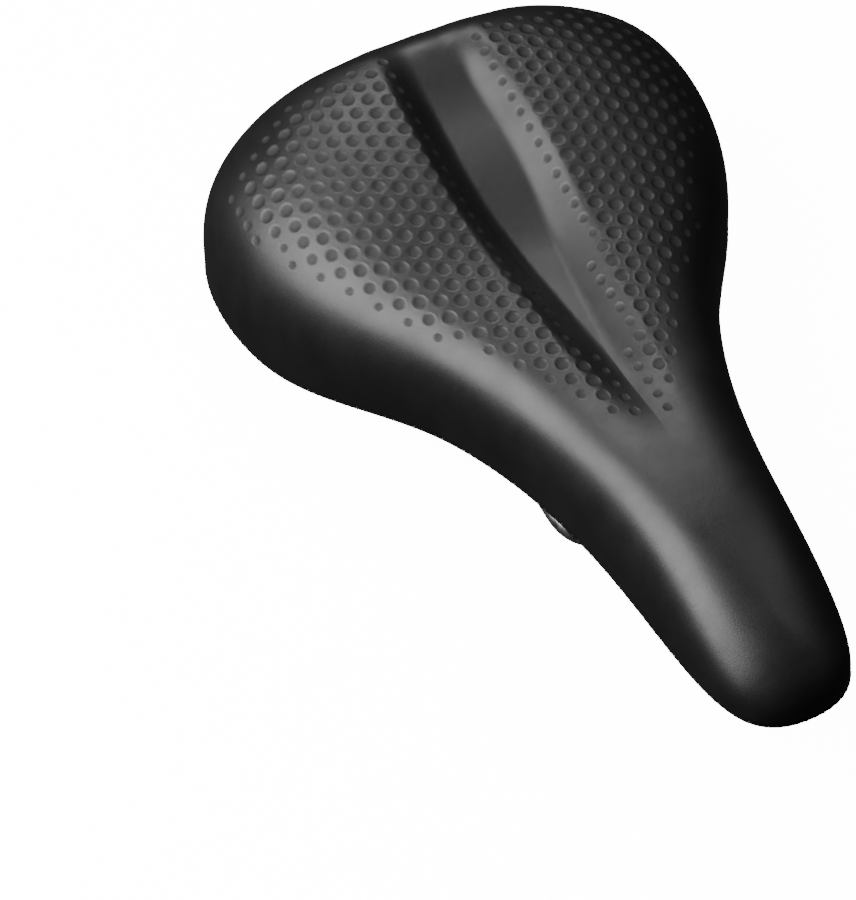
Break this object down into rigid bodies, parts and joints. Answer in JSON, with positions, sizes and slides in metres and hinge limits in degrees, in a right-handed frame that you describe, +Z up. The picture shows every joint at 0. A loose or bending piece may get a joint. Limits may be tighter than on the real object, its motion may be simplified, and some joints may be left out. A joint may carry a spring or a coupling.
{
  "type": "bicycle saddle",
  "caption": "Bicycle saddle with a slip-on moulded silicone comfort cover: dimpled lobes, relief channel and long nose over foam, a moulded base and two steel rails.",
  "frame": {"origin": "midway between the centrelines of the two rails, at the middle of their straight clamp length", "axes": "+Z up, +Y towards the tail, -Y towards the nose, +X to the right as seen from in front of the nose, looking at the tail"},
  "size_m": [0.1754, 0.276, 0.0766],
  "materials": {
    "silicone": "satin moulded, fine grain",
    "vinyl": "grained vinyl upholstery",
    "foam": "moulded polyurethane foam skin",
    "base_plastic": "moulded, fine texture",
    "cup_plastic": "glass-filled nylon",
    "rail_steel": "satin steel rod",
    "fastener_steel": "zinc plated",
    "staple_wire": "galvanised wire"
  },
  "bodies": {
    "saddle": {"base_shell": "base_plastic", "foam_pad": "foam", "skin_top_panel": "vinyl", "skin_side_right": "vinyl", "skin_side_left": "vinyl", "skin_staples": "staple_wire", "rail_right": "rail_steel", "rail_left": "rail_steel", "rail_cup_right": "cup_plastic", "rail_cup_left": "cup_plastic", "cup_screws": "fastener_steel", "plate_nuts_rear": "fastener_steel", "nose_block": "cup_plastic", "nose_screws": "fastener_steel", "plate_nuts_nose": "fastener_steel"},
    "cover": {"cover_top": "silicone", "cover_lip": "silicone", "cover_rim": "silicone", "air_cells_right": "silicone", "air_cells_left": "silicone"}
  },
  "joints": [
    {"name": "cover_lift", "type": "slide", "parent": "saddle", "child": "cover", "axis": [0, 0, 1], "range_m": [0, 0.09], "deforming": ["cover_lip", "cover_rim"]}
  ]
}
